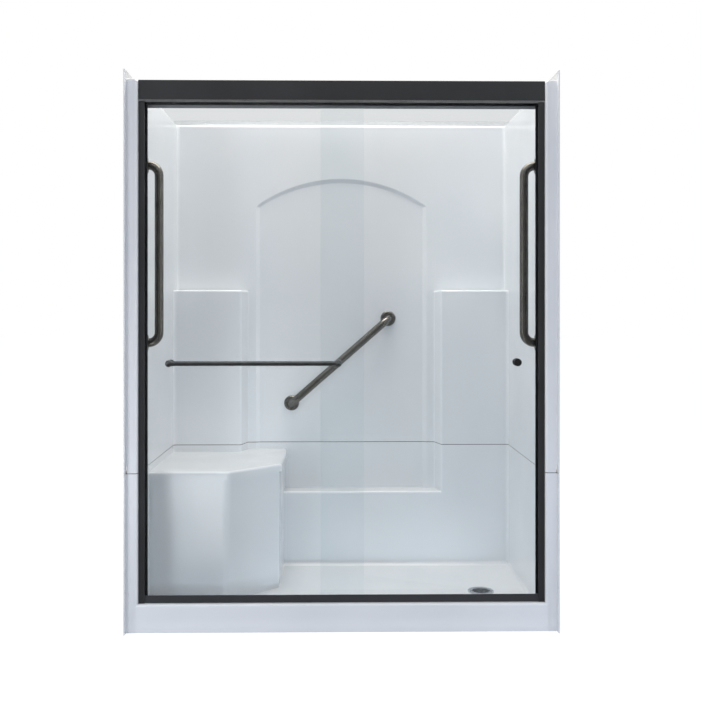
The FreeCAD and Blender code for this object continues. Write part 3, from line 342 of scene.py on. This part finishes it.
# Sizes in metres that tell the room side of the moulding from its back. Depths start at the front faces.
FRONT = -0.404
OUTER_HALF_WIDTH = 0.763
OUTER_DEPTH = 0.839
ROOM_HALF_WIDTH = 0.718
WALL_TOP = 1.948
BACK_WALL = 0.8
PAN_FLOOR = 0.0345
SILL_TOP = 0.099
SILL_DEPTH = 0.1
SILL_SLOPE = 0.44
COLUMN_DEPTH = 0.717
COLUMN_TOP = 1.223
COLUMN_SIDE = 0.43
COLUMN_SLOPE = 0.265
LEDGE_TOP = 0.358
SEAT_TOP = 0.53
SEAT_SIDE = -0.247
SEAT_DEPTH = 0.217
SEAT_CORNER = -0.6527
ARCH_DEPTH = 0.807
ARCH_HALF_WIDTH = 0.374
ARCH_MIDDLE = 1.0735
ARCH_RADIUS = 0.6385
SLACK = 0.004
STEP_OFF = 0.003


def in_arch(x, z):
    """True inside the outline of the arched recess."""
    return x < ARCH_HALF_WIDTH + SLACK and z < ARCH_MIDDLE + math.sqrt(ARCH_RADIUS ** 2 - x * x) + SLACK


def in_column(x, depth, z):
    """True inside a column below its shelf."""
    side = COLUMN_SIDE - COLUMN_SLOPE * (depth - COLUMN_DEPTH)
    return depth > COLUMN_DEPTH + SLACK and z < COLUMN_TOP - SLACK and x > side + SLACK


def in_seat(x, depth, z):
    """True inside the corner seat."""
    beside = x < SEAT_SIDE - SLACK and x - depth < SEAT_CORNER
    return beside and depth > SEAT_DEPTH + SLACK and z < SEAT_TOP - SLACK


def on_room_side(point):
    """True for a point in the room or before the front faces, with a little slack into the laminate."""
    x, depth, z = abs(point.x), point.y - FRONT, point.z
    if x > OUTER_HALF_WIDTH or depth > OUTER_DEPTH:
        return False
    if depth < SLACK or z > WALL_TOP - SLACK:
        return True
    if x > ROOM_HALF_WIDTH + SLACK or z < PAN_FLOOR:
        return False
    if z < SILL_TOP - SLACK and depth < SILL_DEPTH + SILL_SLOPE * (SILL_TOP - z) - SLACK:
        return False
    if depth > COLUMN_DEPTH + SLACK and z < LEDGE_TOP - SLACK:
        return False
    if in_column(x, depth, z):
        return False
    if depth > BACK_WALL + SLACK:
        return depth < ARCH_DEPTH + SLACK and in_arch(x, z)
    return not in_seat(point.x, depth, z)


def paint(name, choices, choose):
    """Gives each face of a node the finish that choose picks for it."""
    mesh = nodes[name].data
    mesh.materials.clear()
    for finish in choices:
        mesh.materials.append(finish)
    for face in mesh.polygons:
        face.material_index = choose(face)


def moulding_finish(face):
    """0 for the gelcoat, 1 for the bare laminate behind it and 2 for the flange above the walls, painted
    greyer as painted shade.
    """
    faces_back = face.normal.y > 0.3 and face.center.y - FRONT > BACK_WALL
    if faces_back or not on_room_side(face.center + face.normal * STEP_OFF):
        return 1
    return 2 if face.center.z > WALL_TOP + SLACK else 0


for name in ("lower_section", "upper_section"):
    paint(name, (gelcoat, fibreglass, flange_shade_gelcoat), moulding_finish)


HEADER_FRONT = FRONT + 0.012
HEADER_BACK = HEADER_FRONT + 0.064
HEADER_BOTTOM = 1.868
BEVEL_REACH = 0.018
DRAIN_RIM = 0.0365


def header_finish(face):
    """0 for the header's outside, 1 for its bevel painted light as a painted highlight, 2 for the channel
    inside painted near black as painted shade, 3 for the lip painted light grey as painted light.
    """
    ahead = face.normal.y < -0.5
    if ahead and face.normal.z < -0.3 and face.center.y < HEADER_FRONT + BEVEL_REACH:
        return 1
    if ahead and face.center.z < HEADER_BOTTOM:
        return 3
    between = HEADER_FRONT + SLACK / 2 < face.center.y < HEADER_BACK - SLACK / 2
    return 2 if between and face.normal.z < 0.5 else 0


paint("header_rail", (frame_coat, bevel_highlight_metal, channel_shade_coat, lip_light_coat), header_finish)
paint("drain_body", (black_plastic, rim_steel), lambda face: face.center.z > DRAIN_RIM)


# Stage: pale floor, even sky, soft lamps
def white_to_sight(tree):
    """1 for rays that see the background, also in a mirror or through glass, 0 for light on surfaces."""
    path = add(tree, "ShaderNodeLightPath")
    seen = add(tree, "ShaderNodeMath", {"operation": "MAXIMUM"}, _0=path.outputs["Is Camera Ray"],
               _1=path.outputs["Is Glossy Ray"])
    either = add(tree, "ShaderNodeMath", {"operation": "MAXIMUM"}, _0=seen.outputs[0],
                 _1=path.outputs["Is Transmission Ray"])
    return either.outputs[0]


world = bpy.data.worlds.new("studio")
world.use_nodes = True
sky = world.node_tree
sky.nodes.clear()
dim = add(sky, "ShaderNodeBackground", None, Color=linear("#f5f8ff"), Strength=0.4)
white = add(sky, "ShaderNodeBackground", None, Color=WHITE, Strength=1.0)
sky_mix = add(sky, "ShaderNodeMixShader", None, Fac=white_to_sight(sky))
sky.links.new(dim.outputs[0], sky_mix.inputs[1])
sky.links.new(white.outputs[0], sky_mix.inputs[2])
sky_out = sky.nodes.new("ShaderNodeOutputWorld")
sky.links.new(sky_mix.outputs[0], sky_out.inputs["Surface"])
bpy.context.scene.world = world


def studio_floor():
    """Pale floor that looks white and still takes a faint shadow."""
    material, tree, output = blank("studio_floor_pale")[:3]
    matt = add(tree, "ShaderNodeBsdfDiffuse", None, Color=linear("#9c9c9c"))
    plain = add(tree, "ShaderNodeBsdfDiffuse", None, Color=linear("#d8d8d8"))
    glow = add(tree, "ShaderNodeEmission", None, Color=WHITE, Strength=0.88)
    lit = add(tree, "ShaderNodeAddShader")
    tree.links.new(matt.outputs[0], lit.inputs[0])
    tree.links.new(glow.outputs[0], lit.inputs[1])
    mix = add(tree, "ShaderNodeMixShader", None, Fac=white_to_sight(tree))
    tree.links.new(plain.outputs[0], mix.inputs[1])
    tree.links.new(lit.outputs[0], mix.inputs[2])
    tree.links.new(mix.outputs[0], output.inputs["Surface"])
    mesh = bpy.data.meshes.new("studio_floor")
    reach = 40.0
    corners = [(-reach, -reach, 0), (reach, -reach, 0), (reach, reach, 0), (-reach, reach, 0)]
    mesh.from_pydata(corners, [], [(0, 1, 2, 3)])
    mesh.materials.append(material)
    floor = bpy.data.objects.new("studio_floor", mesh)
    bpy.context.scene.collection.objects.link(floor)


studio_floor()


def hang(name, lamp, place, aim, power, colour, shine=False):
    """Hangs a lamp at a place and points it. No camera ray sees it, and mirrors show it only with shine."""
    lamp.energy = power
    lamp.color = linear(colour)[:3]
    holder = bpy.data.objects.new(name, lamp)
    holder.location = place
    holder.rotation_euler = (Vector(aim) - Vector(place)).to_track_quat("-Z", "Y").to_euler()
    holder.visible_camera = False
    holder.visible_transmission = False
    holder.visible_glossy = shine
    bpy.context.scene.collection.objects.link(holder)


def softbox(name, place, aim, size, power, colour="#ffffff", shine=False):
    """Flat soft lamp of a given width and height."""
    lamp = bpy.data.lights.new(name, "AREA")
    lamp.shape = "RECTANGLE"
    lamp.size, lamp.size_y = size
    hang(name, lamp, place, aim, power, colour, shine)


def spotlight(name, place, aim, size, angle, power, colour="#ffffff"):
    """Round soft-edged lamp that lights one patch."""
    lamp = bpy.data.lights.new(name, "SPOT")
    lamp.spot_size = math.radians(angle)
    lamp.spot_blend = 1.0
    lamp.shadow_soft_size = size
    hang(name, lamp, place, aim, power, colour)


softbox("key_middle", (-1.95, -4.6, 2.2), (0, 0, 1.0), (0.6, 0.6), 6.7, "#e0e7ff")
softbox("key_low", (-1.95, -4.6, 0.7), (0, 0, 0.8), (0.6, 0.6), 16.7, "#ebf4ff")
softbox("front_low", (0.5, -4.6, 0.6), (0, 0, 0.6), (0.6, 0.6), 21.8, "#eef2ff")
softbox("left_strip", (-2.9, -2.1, 1.9), (0, 0, 1.2), (0.3, 1.0), 25, "#f8fbff")
softbox("right_strip", (2.9, -2.1, 0.6), (0, 0, 0.6), (0.3, 1.0), 13.8, "#e4f1ff")
softbox("floor_bounce", (-1.35, -2.3, 0.03), (-1.35, -2.29, 3.0), (0.6, 1.6), 14.1, "#fff3ee")
softbox("pan_bounce", (0.15, 0.05, 0.06), (0.15, 0.06, 3.0), (0.9, 0.5), 0.35, "#d8f3ff")
softbox("left_corner", (-0.92, -0.95, 0.47), (-0.7, -0.4, 0.47), (0.15, 0.15), 0.52, "#f3f7ff")
softbox("right_corner", (0.92, -0.95, 0.4), (0.75, -0.4, 0.4), (0.15, 0.15), 0.36, "#d4e6ff")
softbox("top_front", (0, -0.05, 3.1), (0, 0.25, 0), (1.6, 0.8), 31.5, "#fff9ef", True)
softbox("top_back", (0, 0.3, 2.8), (0, 0.3, 0), (1.4, 0.3), 3, "#fff9ef", True)
softbox("back_fill", (0, 4.2, 1.2), (0, 0, 1.0), (2.0, 1.4), 60)
spotlight("back_panel_patch", (0.6, -4.4, 1.0), (-0.22, 0.43, 0.68), 0.3, 9, 200)


GREY = 0.25
FADE_START = 0.33


def inside_edges(tree):
    """0 on the edges of a card, rising to 1 a little way in."""
    across = add(tree, "ShaderNodeSeparateXYZ", None, Vector=add(tree, "ShaderNodeTexCoord").outputs["UV"])
    shares = []
    for axis in "XY":
        off_middle = add(tree, "ShaderNodeMath", {"operation": "SUBTRACT"},
                         _0=across.outputs[axis], _1=0.5)
        distance = add(tree, "ShaderNodeMath", {"operation": "ABSOLUTE"}, _0=off_middle.outputs[0])
        shares.append(spread(tree, distance.outputs[0], 1, 0, FADE_START, 0.5))
    return add(tree, "ShaderNodeMath", {"operation": "MULTIPLY"}, _0=shares[0], _1=shares[1]).outputs[0]


def card(name, corners, near, far, sights, rim=None):
    """Glowing card for reflections, which no camera ray sees. Its glow goes from near to far along y.
    With a rim, it fades to that strength at its edges."""
    material, tree, output, place = blank(name)
    along = add(tree, "ShaderNodeSeparateXYZ", None, Vector=place).outputs["Y"]
    ends = sorted((corner[1] for corner in corners), reverse=True)
    strength = spread(tree, along, near, far, ends[0], ends[-1])
    if rim is not None:
        strength = spread(tree, inside_edges(tree), rim, strength, 0, 1)
    glow = add(tree, "ShaderNodeEmission", None, Color=WHITE, Strength=strength)
    tree.links.new(glow.outputs[0], output.inputs["Surface"])
    material.cycles.emission_sampling = "NONE"
    mesh = bpy.data.meshes.new(name)
    mesh.from_pydata(corners, [], [(0, 1, 2, 3)])
    mesh.uv_layers.new(name="across")
    for loop, spot in zip(mesh.uv_layers["across"].data, ((0, 0), (1, 0), (1, 1), (0, 1))):
        loop.uv = spot
    mesh.materials.append(material)
    board = bpy.data.objects.new(name, mesh)
    bpy.context.scene.collection.objects.link(board)
    for sight in ("camera", "diffuse", "glossy", "transmission", "volume_scatter", "shadow"):
        setattr(board, "visible_" + sight, sight in sights)


# The grey cards keep white glare off the glass and give the bars dark middles. The backdrop card is the
# grey seen through the doors above the back wall. The floor card gives the seat front its pale mirror image.
card("grey_card", [(-2.6, -3.9, 0.01), (2.6, -3.9, 0.01), (2.6, -3.95, 3.0), (-2.6, -3.95, 3.0)],
     GREY, GREY, ("glossy", "transmission"))
card("grey_mat", [(-2.6, -0.5, 0.01), (2.6, -0.5, 0.01), (2.6, -3.9, 0.01), (-2.6, -3.9, 0.01)],
     GREY, GREY, ("glossy", "transmission"))
card("backdrop_card", [(-1.3, 1.2, 1.7), (1.3, 1.2, 1.7), (1.3, 1.21, 3.0), (-1.3, 1.21, 3.0)],
     0.79, 0.79, ("transmission",))
card("floor_card", [(-0.71, -0.8, 0.02), (-0.45, -0.8, 0.02), (-0.77, -3.7, 0.02), (-1.28, -3.7, 0.02)],
     1.8, 5.6, ("transmission",), GREY)

# Camera at the photograph's place: level, turned a little to the right, framed by a small shift
PICTURE_WIDTH = 701
FOCAL_PIXELS = 919.7
SHIFT_PIXELS = -35.85
camera = bpy.data.cameras.new("camera")
camera.sensor_width = 36.0
camera.lens = camera.sensor_width * FOCAL_PIXELS / PICTURE_WIDTH
camera.shift_y = SHIFT_PIXELS / PICTURE_WIDTH
eye = bpy.data.objects.new("camera", camera)
eye.location = (-0.0175, -3.639, 1.117)
eye.rotation_euler = (math.pi / 2, 0, -0.0144)
bpy.context.scene.collection.objects.link(eye)
bpy.context.scene.camera = eye

bpy.context.scene.view_settings.view_transform = "Standard"
